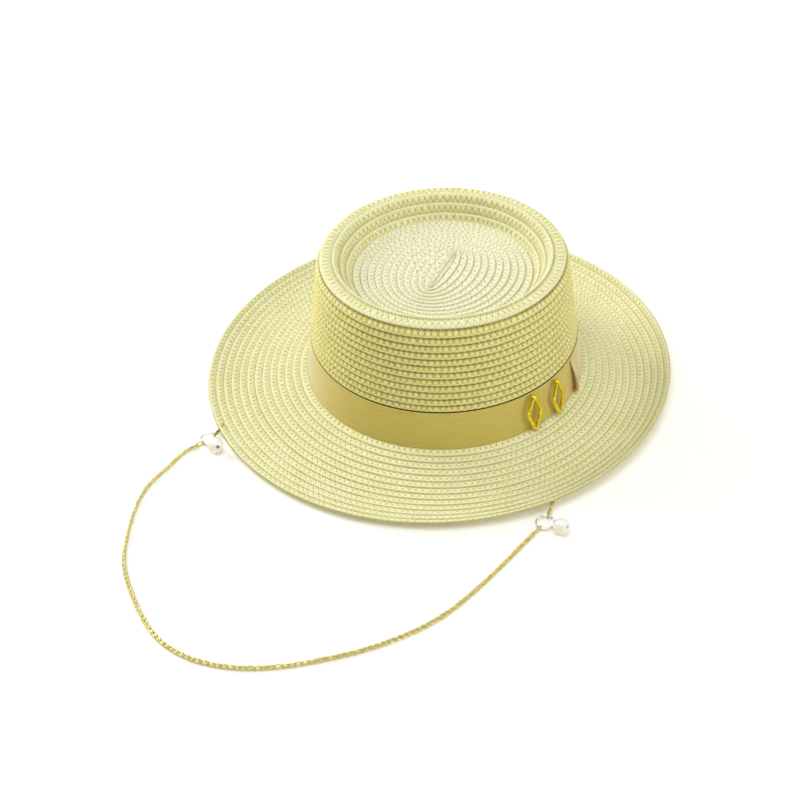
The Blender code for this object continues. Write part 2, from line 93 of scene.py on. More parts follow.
def circle(centre, radius, sides):
    """The corners of a round section, each of them once."""
    return arc(centre, radius, 0.0, 360.0, sides)[:-1]


def crown_outside():
    """The crown's outer line from the middle of the sunk tip, over the rim and down to its foot."""
    lean = degrees(atan2(SIDE_TAPER, 1.0))
    mouth = RIM_HALF_WIDTH - RIM_WIDTH
    floor_level = CROWN_HEIGHT - TIP_DEPTH
    floor_edge = mouth - TIP_WALL_TAPER
    wall_lean = degrees(atan2(TIP_WALL_TAPER, TIP_DEPTH - RIM_INNER_RADIUS))
    fillet_centre = (floor_edge - TIP_FILLET_RADIUS, floor_level + TIP_FILLET_RADIUS)
    inner_centre = (mouth + RIM_INNER_RADIUS, CROWN_HEIGHT - RIM_INNER_RADIUS)
    outer_centre = (RIM_HALF_WIDTH - RIM_OUTER_RADIUS, CROWN_HEIGHT - RIM_OUTER_RADIUS)
    line = [(fillet_centre[0] * share, floor_level + TIP_DOME * (1 - share * share))
            for share in (step / TIP_STEPS for step in range(TIP_STEPS))]
    line += arc(fillet_centre, TIP_FILLET_RADIUS, -90.0, -wall_lean, FILLET_STEPS)
    line += arc(inner_centre, RIM_INNER_RADIUS, 180.0 - wall_lean, 90.0, RIM_INNER_STEPS)
    line += arc(outer_centre, RIM_OUTER_RADIUS, 90.0, lean, RIM_OUTER_STEPS)
    line.append((CROWN_FOOT_HALF_WIDTH - SIDE_TAPER * FOOT_LEVEL, FOOT_LEVEL))
    return line


CROWN_LINE = crown_outside()
CROWN_WAYS = [0.0]
for (r0, z0), (r1, z1) in zip(CROWN_LINE, CROWN_LINE[1:]):
    CROWN_WAYS.append(CROWN_WAYS[-1] + hypot(r1 - r0, z1 - z0))
TIP_EDGE_WAY = CROWN_WAYS[TIP_STEPS]
RIM_TOP_WAY = CROWN_WAYS[TIP_STEPS + FILLET_STEPS + RIM_INNER_STEPS]


def crown_at(way):
    """The radius and height of the crown's outer line at a way from the middle, and which way it faces."""
    index = 0
    while index < len(CROWN_WAYS) - 2 and CROWN_WAYS[index + 1] < way:
        index += 1
    (r0, z0), (r1, z1) = CROWN_LINE[index], CROWN_LINE[index + 1]
    length = CROWN_WAYS[index + 1] - CROWN_WAYS[index]
    share = (way - CROWN_WAYS[index]) / length
    facing = []
    for spot in (max(index - 1, 0), index, min(index + 1, len(CROWN_LINE) - 2)):
        (ra, za), (rb, zb) = CROWN_LINE[spot], CROWN_LINE[spot + 1]
        long = hypot(rb - ra, zb - za)
        facing.append(Vector((-(zb - za) / long, (rb - ra) / long)))
    if share < 0.5:
        face = facing[1].lerp(facing[0], 0.5 - share)
    else:
        face = facing[1].lerp(facing[2], share - 0.5)
    face.normalize()
    return r0 + (r1 - r0) * share, z0 + (z1 - z0) * share, face.x, face.y


def way_at_height(height):
    """The way from the middle of the tip to a height on the outside of the crown."""
    for index in range(len(CROWN_LINE) - 1, 0, -1):
        (r0, z0), (r1, z1) = CROWN_LINE[index - 1], CROWN_LINE[index]
        if z1 <= height <= z0:
            share = (z0 - height) / (z0 - z1)
            return CROWN_WAYS[index - 1] + (CROWN_WAYS[index] - CROWN_WAYS[index - 1]) * share
    return CROWN_WAYS[-1]


def plait_lift(along, across):
    """How proud the plait stands at a place, where its strands cross over and under each other."""
    a = along + across
    b = along - across
    over = (1 - 2 * (a - floor(a))) ** 4
    under = (1 - 2 * (b - floor(b))) ** 4
    if (floor(a) + floor(b)) % 2:
        over, under = under, over
    return (1 - 0.8 * over) * (1 - 0.6 * under)


ROW_STATIONS = (
    # (share of the way across the row, share of the row's lift, share of the plait's lift)
    (0.03, 0.00, 0.3),
    (0.18, 0.22, 0.8),
    (0.34, 0.42, 1.0),
    (0.50, 0.60, 1.0),
    (0.66, 0.78, 1.0),
    (0.82, 0.94, 0.9),
    (0.955, 0.88, 0.6),
)
BACK_STATIONS = (
    # (share of the way back across the row, share of the row's lift, share of the plait's lift)
    (0.08, 0.00, 0.0),
    (0.90, 0.45, 0.0),
)


def outer_rings(bounds, first_row=0, tucked=True, lipped=True, lift=ROW_LIFT):
    """The lines of the outer face, row by row: (row, share across, way, height, plait, edge).

    A tucked start lies inside the row before it, and a lipped end goes on under the row after it.
    """
    last = first_row + len(bounds) - 2
    if tucked:
        rings = [(first_row, 0.0, bounds[0] - 0.6 * MM, -1.0 * lift, 0.0, False)]
    else:
        rings = [(first_row, 0.0, bounds[0], -0.7 * lift, 0.0, False)]
    for row, (start, end) in enumerate(zip(bounds, bounds[1:])):
        for share, rise, plait in ROW_STATIONS:
            rings.append((first_row + row, share, start + (end - start) * share,
                          lift * (rise - ROW_MIDDLE), plait, share > 0.9))
    rings.append((last + 1, 0.0, bounds[-1] + 0.12 * MM, -0.75 * lift, 0.0, False))
    if lipped:
        rings.append((last + 1, 0.02, bounds[-1] + 0.7 * MM, -1.05 * lift, 0.0, False))
    return rings


def back_rings(bounds, first_row=0):
    """The lines of the inner face, where each row's other edge stands proud, from the end to the start."""
    rings = []
    for row in range(len(bounds) - 2, -1, -1):
        start, end = bounds[row], bounds[row + 1]
        for share, rise, plait in BACK_STATIONS:
            rings.append((first_row + row, 1 - share, end - (end - start) * share,
                          -STRAW_WALL - ROW_LIFT * (rise - ROW_MIDDLE), plait, False))
    return rings


def place_mesh(name, bm):
    """Puts a finished bmesh in the scene as an object."""
    mesh = bpy.data.meshes.new(name)
    bm.to_mesh(mesh)
    bm.free()
    item = bpy.data.objects.new(name, mesh)
    bpy.context.collection.objects.link(item)
    return item


def lay_braid(name, rings, columns, girth, place):
    """Bends one flat grid round the hat, so that its lines follow the rows, and closes it.

    girth gives the length round the hat at a way, and place the spot of a column, way and height.
    """
    bm = bmesh.new()
    bmesh.ops.create_grid(bm, x_segments=columns, y_segments=len(rings), size=1.0)
    bm.verts.ensure_lookup_table()
    spots = []
    for vert in bm.verts:
        spots.append((round((vert.co.x + 1) / 2 * columns), round((vert.co.y + 1) / 2 * len(rings))))
    row_cells = {}
    for ring in rings:
        row_cells.setdefault(ring[0], max(round(girth(ring[2]) / PLAIT_CELL), FEWEST_CELLS))

    def plait_place(column, row):
        """How many cells along its row a column is. The plait is looser and tighter in places."""
        round_way = 2 * pi * column / columns
        loose = 0.20 * sin(9 * round_way + 2.1 * row) + 0.07 * sin(23 * round_way + 5.3 * row)
        loose += 0.04 * sin(41 * round_way + 1.3 * row)
        return column / columns * row_cells[row] + 0.37 * row + loose

    uv = bm.loops.layers.uv.new("UVMap")
    for face in bm.faces:
        row = max(rings[spots[vert.index][1] % len(rings)][0] for vert in face.verts)
        for loop in face.loops:
            column, here = spots[loop.vert.index]
            here %= len(rings)
            across = rings[here][1] if rings[here][0] == row else 0.0
            loop[uv].uv = (plait_place(column, row), row + across)
    for vert in bm.verts:
        column, line = spots[vert.index]
        row, share, way, height, plait, edge = rings[line % len(rings)]
        along = plait_place(column % columns, row)
        height += PLAIT_LIFT * plait * plait_lift(along, row + share)
        if edge:
            way += SCALLOP * (abs(sin(pi * along * 2)) - 0.6)
        vert.co = place(column % columns, way, height)
    bmesh.ops.remove_doubles(bm, verts=bm.verts, dist=MERGE_DISTANCE)
    bmesh.ops.recalc_face_normals(bm, faces=bm.faces)
    piece = place_mesh(name, bm)
    piece.data.shade_smooth()
    return piece


def crown_girth(way):
    """How far it is round the crown."""
    return 2 * pi * crown_at(way)[0]


def crown_placer(columns):
    """A function that gives the place of a column, a way and a height on the crown."""
    turns = [(sin(2 * pi * column / columns), cos(2 * pi * column / columns)) for column in range(columns)]
    known = {}

    def place(column, way, height):
        if way not in known:
            known[way] = crown_at(way)
        r, z, nr, nz = known[way]
        across, ahead = turns[column]
        reach = r + nr * height
        return Vector((reach * across, -reach * OVAL_RATIO * ahead, z + nz * height + JUNCTION_LEVEL))
    return place


# Heights in mm of the rows' edges, from the rim down to the top of the ribbon, and then under it
SIDE_HEIGHTS = (84.6, 79.6, 74.4, 69.5, 64.8, 60.3, 55.6, 51.0, 46.3, 41.6, 36.8, 32.2, 27.8)
HIDDEN_HEIGHTS = (22.4, 17.6, 12.8, 8.0, 3.4)
SIDE_ROWS = [way_at_height(height * MM) for height in SIDE_HEIGHTS]
HIDDEN_ROWS = [way_at_height(height * MM) for height in HIDDEN_HEIGHTS] + [CROWN_WAYS[-1]]
FIRST_HIDDEN_ROW = len(SIDE_ROWS) - 1

side_rings = outer_rings(SIDE_ROWS, lipped=False)
side_rings.append((FIRST_HIDDEN_ROW, 0.05, SIDE_ROWS[-1] + 0.3 * MM, -0.8 * ROW_LIFT, 0.0, False))
for row, way in enumerate(HIDDEN_ROWS):
    side_rings.append((FIRST_HIDDEN_ROW + row, 0.5, way, -0.5 * ROW_LIFT, 0.0, False))
side_rings += back_rings(SIDE_ROWS + HIDDEN_ROWS)
crown_side = lay_braid("crown_side", side_rings, SIDE_COLUMNS, crown_girth, crown_placer(SIDE_COLUMNS))


def node_group(name, inputs, outputs):
    """A shader node group with named inputs, as (name, kind, value), and outputs, as (name, kind)."""
    group = bpy.data.node_groups.new(name, "ShaderNodeTree")
    for label, kind, value in inputs:
        socket = group.interface.new_socket(label, in_out="INPUT", socket_type=f"NodeSocket{kind}")
        if value is not None:
            socket.default_value = value
    for label, kind in outputs:
        group.interface.new_socket(label, in_out="OUTPUT", socket_type=f"NodeSocket{kind}")
    return group


def feed(tree, socket, value):
    """Gives a socket a plain value or another node's output."""
    if isinstance(value, bpy.types.NodeSocket):
        tree.links.new(value, socket)
    else:
        socket.default_value = value


def add_node(tree, kind, **values):
    """Adds a node. A value for a socket is given by the socket's name or number after 'in_'."""
    node = tree.nodes.new(f"ShaderNode{kind}")
    for key, value in values.items():
        if key.startswith("in_"):
            label = key[3:].replace("_", " ")
            feed(tree, node.inputs[int(label) if label.isdigit() else label], value)
        else:
            setattr(node, key, value)
    return node


def calc(tree, operation, *values):
    """One sum or comparison of values."""
    node = tree.nodes.new("ShaderNodeMath")
    node.operation = operation
    for socket, value in zip(node.inputs, values):
        feed(tree, socket, value)
    return node.outputs[0]


def ramp(tree, value, low, high, out_low=0.0, out_high=1.0):
    """A smooth step from one value to another."""
    node = add_node(tree, "MapRange", interpolation_type="SMOOTHSTEP", in_Value=value, in_1=low, in_2=high,
                    in_3=out_low, in_4=out_high)
    return node.outputs[0]


def mix_colour(tree, factor, first, second):
    """A colour between two others."""
    node = tree.nodes.new("ShaderNodeMix")
    node.data_type = "RGBA"
    for number, value in ((0, factor), (6, first), (7, second)):
        feed(tree, node.inputs[number], value)
    return node.outputs[2]


def new_material(name):
    """An empty material, with its node tree and its shader."""
    material = bpy.data.materials.new(name)
    material.use_nodes = True
    return material, material.node_tree, material.node_tree.nodes["Principled BSDF"]


def plait_group():
    """The plait's pattern: how high each strand lies, each strand's own tone, and masks for painted shade
    in the hollows and where each row is tucked, and for a painted highlight along each row's proud edge.
    """
    group = node_group("plait", [("UV", "Vector", None), ("Reach", "Float", 0.34)],
                       [("Height", "Float"), ("HollowShade", "Float"), ("Tone", "Float"), ("Fibre", "Float"),
                        ("TuckShade", "Float"), ("EdgeHighlight", "Float"), ("Run", "Float")])
    start = group.nodes.new("NodeGroupInput")
    end = group.nodes.new("NodeGroupOutput")
    split = add_node(group, "SeparateXYZ", in_0=start.outputs[0])
    along, across = split.outputs[0], split.outputs[1]

    def from_middle(value):
        """How far a share is from its middle: 0 there, and 1 at both ends."""
        return calc(group, "ABSOLUTE", calc(group, "MULTIPLY_ADD", value, 2.0, -1.0))

    # Two sets of diagonal strands, a and b, which lie on top in turn
    a = calc(group, "ADD", along, across)
    b = calc(group, "SUBTRACT", along, across)
    share_a = calc(group, "FRACT", calc(group, "ADD", a, 1000.0))
    share_b = calc(group, "FRACT", calc(group, "ADD", b, 1000.0))
    number_a = calc(group, "FLOOR", a)
    number_b = calc(group, "FLOOR", b)
    odd = calc(group, "FLOORED_MODULO", calc(group, "ADD", number_a, number_b), 2.0)
    odd = calc(group, "GREATER_THAN", odd, 0.5)
    even = calc(group, "SUBTRACT", 1.0, odd)

    def pick(when_even, when_odd):
        """The value of the strand that lies on top."""
        return calc(group, "ADD", calc(group, "MULTIPLY", when_even, even),
                    calc(group, "MULTIPLY", when_odd, odd))

    side = pick(share_a, share_b)
    length = pick(share_b, share_a)
    strand = pick(number_a, calc(group, "ADD", number_b, 511.5))
    over = calc(group, "POWER", from_middle(side), 4.0)
    under = calc(group, "POWER", from_middle(length), 4.0)
    height = calc(group, "MULTIPLY", calc(group, "MULTIPLY_ADD", over, -0.8, 1.0),
                  calc(group, "MULTIPLY_ADD", under, -0.6, 1.0))

    # Each strand is two straws side by side, with a groove between them
    halves = calc(group, "MULTIPLY", side, 2.0)
    groove = calc(group, "POWER", from_middle(calc(group, "FRACT", halves)), 5.0)
    height = calc(group, "MULTIPLY_ADD", groove, -0.42, height)
    straw = calc(group, "MULTIPLY_ADD", calc(group, "FLOOR", halves), 0.31, strand)
    spot = add_node(group, "CombineXYZ", in_0=straw, in_1=calc(group, "FLOOR", across), in_2=0.0)
    tone = add_node(group, "TexWhiteNoise", noise_dimensions="3D", in_Vector=spot.outputs[0])
    fibres = add_node(group, "CombineXYZ", in_0=calc(group, "MULTIPLY", side, 9.0),
                      in_1=calc(group, "MULTIPLY", length, 1.4), in_2=calc(group, "MULTIPLY", strand, 3.7))
    fibre = add_node(group, "TexNoise", in_Vector=fibres.outputs[0], in_Scale=1.0, in_Detail=2.0)

    # Painted shade in the hollows between strands and where a row is tucked under the one above, deepest in
    # the middle of each cell and deeper at random in long runs; a painted highlight toward each row's proud
    # edge
    row_share = calc(group, "FRACT", across)
    runs = add_node(group, "CombineXYZ", in_0=calc(group, "MULTIPLY", along, 0.13),
                    in_1=calc(group, "MULTIPLY", calc(group, "FLOOR", across), 3.3), in_2=0.0)
    run = add_node(group, "TexNoise", in_Vector=runs.outputs[0], in_Scale=1.0, in_Detail=1.0)
    reach = start.outputs["Reach"]
    tuck_shade = ramp(group, row_share, calc(group, "MULTIPLY", reach, 0.25), reach, 1.0, 0.0)
    cell_shade_dots = ramp(group, from_middle(calc(group, "FRACT", along)), 0.1, 0.8, 1.0, 0.45)
    results = {
        "Height": height,
        "HollowShade": ramp(group, height, 0.10, 0.66, 1.0, 0.0),
        "Tone": tone.outputs["Value"],
        "Fibre": fibre.outputs["Fac"],
        "TuckShade": calc(group, "MULTIPLY", tuck_shade, cell_shade_dots),
        "EdgeHighlight": ramp(group, row_share, 0.62, 0.93),
        "Run": ramp(group, run.outputs["Fac"], 0.32, 0.68),
    }
    for label, value in results.items():
        group.links.new(value, end.inputs[label])
    return group


PLAIT = plait_group()


def straw_material(name, light, mid, shade_tone, tuck_shade, reach):
    """Pale paper straw. Painted shade makes it yellower and olive where each row turns under the one before
    and olive in the hollows of the plait; a painted highlight lightens each row's proud edge.
    """
    material, tree, shader = new_material(name)
    place = add_node(tree, "UVMap", uv_map="UVMap")
    plait = tree.nodes.new("ShaderNodeGroup")
    plait.node_tree = PLAIT
    tree.links.new(place.outputs[0], plait.inputs["UV"])
    plait.inputs["Reach"].default_value = reach
    spot = add_node(tree, "TexCoord").outputs["Object"]
    drift = add_node(tree, "TexNoise", in_Vector=spot, in_Scale=38.0, in_Detail=2.0)
    tone = calc(tree, "MULTIPLY_ADD", plait.outputs["Tone"], 0.60,
                calc(tree, "MULTIPLY_ADD", drift.outputs["Fac"], 0.4, -0.05))
    colour = mix_colour(tree, tone, mid, light)
    colour = mix_colour(tree, calc(tree, "MULTIPLY", plait.outputs["Fibre"], 0.35), colour, mid)
    # Painted shade in the plait's hollows, lighter toward a row's proud edge
    hollow_shade = calc(tree, "MULTIPLY", plait.outputs["HollowShade"],
                  calc(tree, "MULTIPLY_ADD", plait.outputs["EdgeHighlight"], -0.45, 0.85))
    colour = mix_colour(tree, hollow_shade, colour, shade_tone)
    # A painted highlight toward each row's proud edge
    colour = mix_colour(tree, calc(tree, "MULTIPLY", plait.outputs["EdgeHighlight"], 0.5), colour, light)
    # Painted shade where a row is tucked under the one before; depth is its strength, deeper at random in
    # long runs
    depth = calc(tree, "MULTIPLY", plait.outputs["TuckShade"],
                 calc(tree, "MULTIPLY_ADD", plait.outputs["Run"], 0.3, tuck_shade))
    colour = mix_colour(tree, depth, colour, shade_tone)
    tree.links.new(colour, shader.inputs["Base Color"])
    shader.inputs["Specular IOR Level"].default_value = 0.45
    rough = calc(tree, "MULTIPLY_ADD", plait.outputs["Fibre"], 0.25, 0.36)
    tree.links.new(rough, shader.inputs["Roughness"])
    height = calc(tree, "MULTIPLY_ADD", plait.outputs["Fibre"], 0.16, plait.outputs["Height"])
    bump = add_node(tree, "Bump", in_Strength=0.8, in_Distance=0.30 * MM, in_Height=height)
    tree.links.new(bump.outputs[0], shader.inputs["Normal"])
    return material


STRAW = straw_material("straw_plait", (0.95, 0.94, 0.67, 1), (0.82, 0.785, 0.35, 1), (0.34, 0.30, 0.05, 1),
                       0.44, 0.18)
# The crown's side takes a yellower, darker copy of the straw, which is painted shade, with deeper and wider
# painted shade where each row is tucked
SHADED_SIDE_STRAW = straw_material("straw_plait_side_shaded", (0.95, 0.93, 0.57, 1), (0.81, 0.745, 0.19, 1),
                            (0.24, 0.18, 0.01, 1), 0.82, 0.40)
BAND_SHADE = straw_material("straw_under_ribbon", (0.50, 0.36, 0.12, 1), (0.36, 0.24, 0.06, 1),
                            (0.10, 0.04, 0.005, 1), 0.6, 0.4)


def finish_straw(piece, node, material):
    """Makes a braided piece the dressed shape of a node."""
    piece.data.materials.append(material)
    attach(piece, "root")
    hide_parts(node)


finish_straw(crown_side, "crown", SHADED_SIDE_STRAW)
crown_side.data.materials.append(BAND_SHADE)
places = crown_side.data.uv_layers["UVMap"].data
for face in crown_side.data.polygons:
    row = sum(places[loop].uv.y for loop in face.loop_indices) / len(face.loop_indices)
    if FIRST_HIDDEN_ROW < row < FIRST_HIDDEN_ROW + 1 and face.normal.dot(face.center) > 0:
        face.material_index = 1


# Straw crown, rim and the wall of the sunk tip
# The same plait goes on over the rolled rim and down inside it, pressed round on the block.

RIM_COLUMNS = 700
FIRST_RIM_ROW = 20
RIM_ROWS = [TIP_EDGE_WAY + (RIM_TOP_WAY - TIP_EDGE_WAY) * step / 3 for step in range(4)]
RIM_ROWS.append(SIDE_ROWS[0])

rim_rings = outer_rings(RIM_ROWS, first_row=FIRST_RIM_ROW)
rim_rings += back_rings(RIM_ROWS, first_row=FIRST_RIM_ROW)
crown_rim = lay_braid("crown_rim", rim_rings, RIM_COLUMNS, crown_girth, crown_placer(RIM_COLUMNS))
finish_straw(crown_rim, "crown", STRAW)


# Straw tip
# The plait starts here: a straight piece front to back, with the rows wound round it as ovals
# that grow round toward the edge of the tip.

TIP_START_HALF_LENGTH = 19.0 * MM
TIP_START_WIDTH = 2.4 * MM
TIP_TURNS = 11
TIP_COLUMNS = 480
FIRST_TIP_ROW = 40
TIP_ROWS = [0.0]
for number in range(TIP_TURNS + 1):
    TIP_ROWS.append(TIP_START_WIDTH + (TIP_EDGE_WAY - TIP_START_WIDTH) * number / TIP_TURNS)


def tip_girth(way):
    """How far it is round the long oval that a row of the tip follows."""
    share = way / TIP_EDGE_WAY
    return 2 * pi * crown_at(way)[0] + 4 * TIP_START_HALF_LENGTH * (1 - share)


def tip_place(column, way, height):
    """The place of a column, a way and a height on the tip."""
    turn = 2 * pi * column / TIP_COLUMNS
    r, z, nr, nz = crown_at(max(way, 0.0))
    share = max(way, 0.0) / TIP_EDGE_WAY
    length = r * OVAL_RATIO + TIP_START_HALF_LENGTH * (1 - share)
    return Vector((r * sin(turn), -length * cos(turn), z + height + JUNCTION_LEVEL))


tip_rings = outer_rings(TIP_ROWS, first_row=FIRST_TIP_ROW, tucked=False)
tip_rings += back_rings(TIP_ROWS, first_row=FIRST_TIP_ROW)
tip_rings.append((FIRST_TIP_ROW, 0.0, 0.0, -STRAW_WALL - 0.3 * ROW_LIFT, 0.0, False))
crown_tip = lay_braid("crown_tip", tip_rings, TIP_COLUMNS, tip_girth, tip_place)
# The tip takes a paler copy of the straw, which is painted light on the top of the crown, with less painted
# shade where each row is tucked
LIT_TIP_STRAW = straw_material("straw_plait_tip_lit", (0.97, 0.965, 0.80, 1), (0.88, 0.86, 0.52, 1),
                           (0.36, 0.32, 0.07, 1), 0.34, 0.16)
finish_straw(crown_tip, "crown", LIT_TIP_STRAW)


# Straw brim
# The spiral goes on from the foot of the crown to the edge. The brim dips at the crown and curls
# up toward its edge, more at the back and on the wearer's left.

BRIM_WIDTH = 65.0 * MM
BRIM_SIDES = {
    # side: (width as a share of BRIM_WIDTH, slope at the crown, slope at the edge, in degrees)
    "front": (0.985, -14.0, 14.0),
    "left": (0.945, -20.5, 40.5),
    "back": (1.018, -19.5, 39.0),
    "right": (1.058, -13.5, 13.5),
}
RIBBON_THICKNESS = 0.8 * MM
RIBBON_OUTSIDE = GAP + RIBBON_THICKNESS
BRIM_MARGIN = STRAW_WALL + RIBBON_OUTSIDE
BRIM_ROWS = 13
BRIM_STEPS = 40
BRIM_LIFT = 0.85 * MM
BRIM_TUCK = 1.5 * MM
FIRST_BRIM_ROW = 60
BRIM_PIECES = (
    # (name, first row's inner edge, last row's outer edge, columns)
    ("brim_inner", 0, 7, 940),
    ("brim_outer", 7, 13, 1150),
)


def brim_value(turn, column):
    """A column of BRIM_SIDES at any turn, blended smoothly between the four sides."""
    front, left, back, right = (BRIM_SIDES[side][column] for side in ("front", "left", "back", "right"))
    mean = (front + left + back + right) / 4
    twice = (left + right - front - back) / 4
    along = (back - front) / 2
    across = (left - right) / 2
    return mean - along * cos(turn) + across * sin(turn) - twice * cos(2 * turn)


def brim_placer(columns):
    """A function that gives the place of a column, a way out from the crown and a height on the brim."""
    half_width = HEAD_HALF_WIDTH + BRIM_MARGIN
    half_length = half_width * OVAL_RATIO
    sections = []
    for column in range(columns):
        turn = 2 * pi * column / columns
        width = BRIM_WIDTH * brim_value(turn, 0)
        start = radians(brim_value(turn, 1))
        change = radians(brim_value(turn, 2)) - start
        outward = Vector((sin(turn) / half_width, -cos(turn) / half_length, 0.0)).normalized()
        foot = Vector((half_width * sin(turn), -half_length * cos(turn), 0.0))
        line = [(0.0, 0.0)]
        for step in range(BRIM_STEPS + 1):
            slope = start + change * ((step + 0.5) / BRIM_STEPS) ** 2
            line.append((line[-1][0] + cos(slope) * width / BRIM_STEPS,
                         line[-1][1] + sin(slope) * width / BRIM_STEPS))
        sections.append((foot, outward, start, change, line))

    def place(column, way, height):
        foot, outward, start, change, line = sections[column]
        share = way / BRIM_WIDTH
        if share < 0:
            return foot + outward * way + Vector((0.0, 0.0, height + JUNCTION_LEVEL + STRAW_WALL / 2))
        spot = min(share * BRIM_STEPS, BRIM_STEPS)
        index = int(spot)
        (x0, z0), (x1, z1) = line[index], line[index + 1]
        part = share * BRIM_STEPS - index
        slope = start + change * share ** 2
        side = STRAW_WALL / 2 + height
        out = x0 + (x1 - x0) * part - sin(slope) * side
        up = z0 + (z1 - z0) * part + cos(slope) * side
        return foot + outward * out + Vector((0.0, 0.0, up + JUNCTION_LEVEL))
    return place


def brim_girth(way):
    """How far it is round the brim."""
    return 2 * pi * (HEAD_HALF_WIDTH + BRIM_MARGIN + max(way, 0.0))


brim_bounds = [BRIM_WIDTH * row / BRIM_ROWS for row in range(BRIM_ROWS + 1)]
for name, first, last, columns in BRIM_PIECES:
    bounds = brim_bounds[first:last + 1]
    at_crown = first == 0
    if at_crown:
        bounds[0] = -BRIM_TUCK
    first_row = FIRST_BRIM_ROW + first
    brim_rings = outer_rings(bounds, first_row=first_row, lipped=at_crown, lift=BRIM_LIFT)
    if at_crown:
        brim_rings[0] = (first_row, 0.3, -BRIM_MARGIN, -ROW_MIDDLE * ROW_LIFT, 0.0, False)
    brim_rings += back_rings(bounds, first_row=first_row)
    if at_crown:
        brim_rings.append((first_row, 0.0, -BRIM_MARGIN, -STRAW_WALL, 0.0, False))
    finish_straw(lay_braid(name, brim_rings, columns, brim_girth, brim_placer(columns)), "brim", STRAW)


# Ribbon band
# A flat satin ribbon round the foot of the crown, cut on the straight and drawn tight, with a
# narrow corded edge along its top.

RIBBON_WIDTH = 26.0 * MM
RIBBON_EDGE = 0.45 * MM
RIBBON_SWELL = 0.22 * MM
RIBBON_LINES = 14
RIBBON_COLUMNS = 256


def band_point(turn, height, out):
    """A point at a height on the ribbon, so far out from its outer face."""
    half_width = CROWN_FOOT_HALF_WIDTH - SIDE_TAPER * height + RIBBON_OUTSIDE
    half_length = half_width * OVAL_RATIO
    outward = Vector((sin(turn) / half_width, -cos(turn) / half_length, 0.0)).normalized()
    face = (outward + Vector((0.0, 0.0, SIDE_TAPER))).normalized()
    return Vector((half_width * sin(turn), -half_length * cos(turn), height + JUNCTION_LEVEL)) + face * out


def finish_piece(name, bm, material, nodes):
    """Makes a bmesh a smooth piece of the hat."""
    bmesh.ops.recalc_face_normals(bm, faces=bm.faces)
    piece = place_mesh(name, bm)
    piece.data.shade_smooth()
    piece.data.set_sharp_from_angle(angle=radians(50))
    piece.data.materials.append(material)
    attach(piece, "root")
    if nodes:
        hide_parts(*nodes)
    return piece


def satin_material(name, colour, shade):
    """Smooth satin with fine crosswise ribs, a soft sheen and a slow change of tone along the ribbon."""
    material, tree, shader = new_material(name)
    place = add_node(tree, "UVMap", uv_map="UVMap")
    stretched = add_node(tree, "Mapping", in_Vector=place.outputs[0])
    stretched.inputs["Scale"].default_value = (1.0, 9.0, 1.0)
    tone = add_node(tree, "TexNoise", in_Vector=stretched.outputs[0], in_Scale=60.0, in_Detail=3.0)
    tree.links.new(mix_colour(tree, ramp(tree, tone.outputs["Fac"], 0.3, 0.7), colour, shade),
                   shader.inputs["Base Color"])
    ribs = add_node(tree, "TexWave", wave_type="BANDS", bands_direction="X", in_Vector=place.outputs[0],
                    in_Scale=400.0, in_Distortion=0.4)
    height = calc(tree, "MULTIPLY_ADD", tone.outputs["Fac"], 2.0, ribs.outputs["Fac"])
    bump = add_node(tree, "Bump", in_Strength=0.25, in_Distance=0.05 * MM, in_Height=height)
    tree.links.new(bump.outputs[0], shader.inputs["Normal"])
    shader.inputs["Roughness"].default_value = 0.42
    shader.inputs["Sheen Weight"].default_value = 0.9
    shader.inputs["Sheen Roughness"].default_value = 0.35
    return material


SATIN = satin_material("ribbon_satin", (0.66, 0.54, 0.14, 1), (0.63, 0.50, 0.115, 1))


def ribbon_section():
    """The ribbon's section as (height, out): up its face, over the corded edge and down its back."""
    face = [(FOOT_LEVEL + RIBBON_WIDTH * line / RIBBON_LINES, 0.0) for line in range(RIBBON_LINES)]
    top = FOOT_LEVEL + RIBBON_WIDTH
    cord = []
    for angle in (-60, -25, 10, 45, 80, 115, 150):
        level = top - RIBBON_EDGE + RIBBON_EDGE * sin(radians(angle))
        out = -RIBBON_THICKNESS / 2 + (RIBBON_EDGE + 0.12 * MM) * cos(radians(angle))
        cord.append((level, out))
    back = [(top - 2.2 * RIBBON_EDGE, -RIBBON_THICKNESS), (FOOT_LEVEL, -RIBBON_THICKNESS)]
    return face + cord + back


def section_line(vert):
    """Which line of the ribbon's section a vertex of the flat grid is on."""
    return round((vert.co.y + 1) / 2 * len(section)) % len(section)


section = ribbon_section()
bm = bmesh.new()
bmesh.ops.create_grid(bm, x_segments=RIBBON_COLUMNS, y_segments=len(section), size=1.0)
uv = bm.loops.layers.uv.new("UVMap")
for face in bm.faces:
    for loop in face.loops:
        round_way = pi * (loop.vert.co.x + 1) * HEAD_HALF_WIDTH
        loop[uv].uv = (round_way, section[section_line(loop.vert)][0])
for vert in bm.verts:
    turn = pi * (vert.co.x + 1)
    height, out = section[section_line(vert)]
    share = (height - FOOT_LEVEL) / RIBBON_WIDTH
    ripple = 1 + sin(5 * turn) * 0.5 + sin(11 * turn + 1) * 0.3
    swell = RIBBON_SWELL * sin(pi * min(max(share, 0.0), 1.0)) * ripple
    vert.co = band_point(turn, height, out + swell)
bmesh.ops.remove_doubles(bm, verts=bm.verts, dist=MERGE_DISTANCE)
finish_piece("ribbon_band", bm, SATIN, ["hat_band"])


# Lapped end of the ribbon
# The ribbon's end is lapped over its start on the wearer's left and tacked at its corners, so
# the middle of its free edge bows out from the band.

# In degrees, from the front toward the wearer's left
JOIN_TURN = 88.5
JOIN_LENGTH = 24.0 * MM
JOIN_LIFT = 4.5 * MM
JOIN_LIFTED_SHARE = 0.35
JOIN_THICKNESS = 0.6 * MM
JOIN_STAND_OFF = 0.35 * MM

